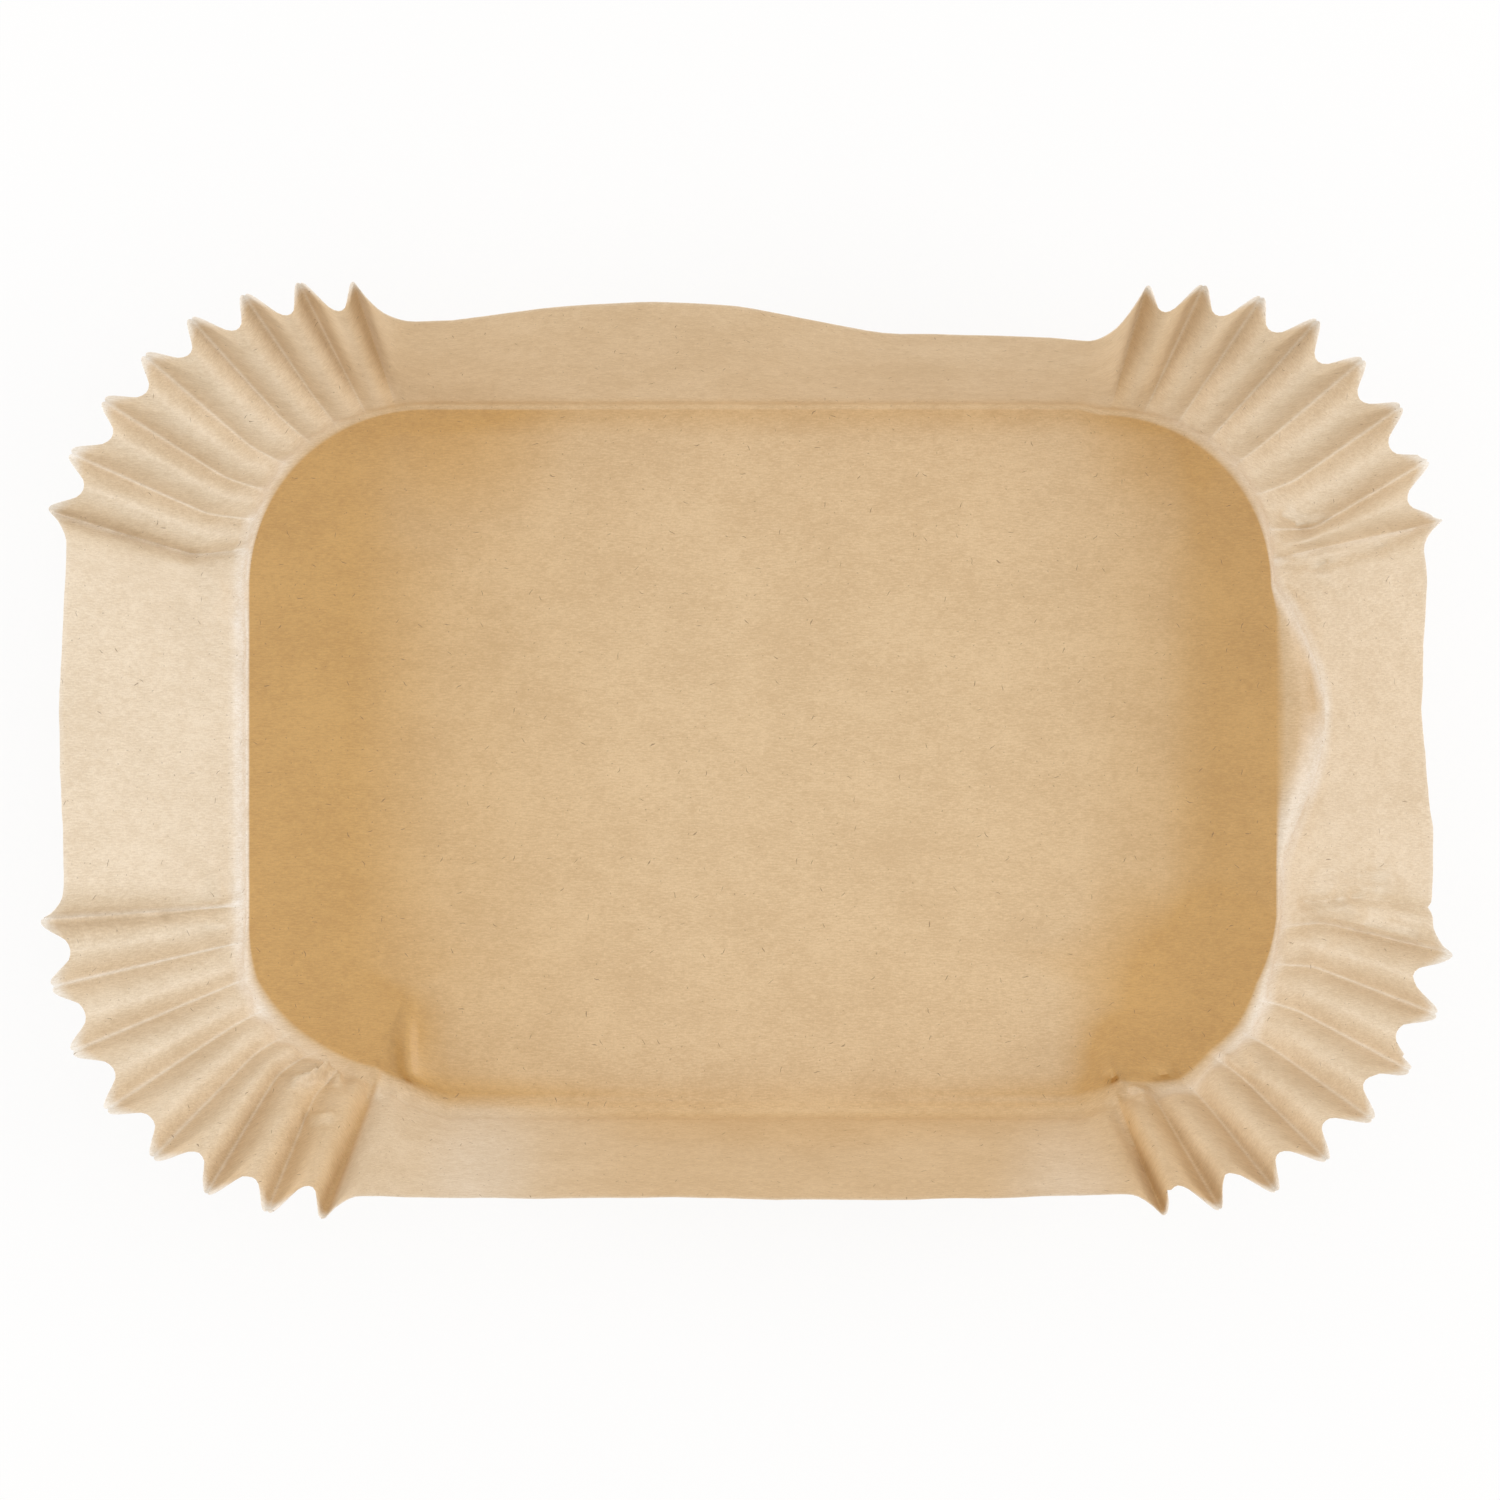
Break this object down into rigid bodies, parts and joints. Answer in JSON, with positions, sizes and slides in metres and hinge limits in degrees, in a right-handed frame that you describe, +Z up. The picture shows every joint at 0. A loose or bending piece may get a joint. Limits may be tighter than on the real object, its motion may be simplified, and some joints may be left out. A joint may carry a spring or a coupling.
{
  "type": "air fryer paper liner",
  "caption": "Rectangular tray of unbleached baking paper with a flat floor, flared walls and pleated rounded corners, used to line an air fryer basket.",
  "frame": {"origin": "middle of the underside of the floor", "axes": "+X along the floor towards the right end wall, +Y towards the back wall, +Z up out of the tray"},
  "size_m": [0.29, 0.1902, 0.0428],
  "materials": {
    "paper": "matte unbleached baking paper with fine fibres and a faint sheen"
  },
  "bodies": {
    "root": {"liner": "paper"}
  },
  "joints": []
}
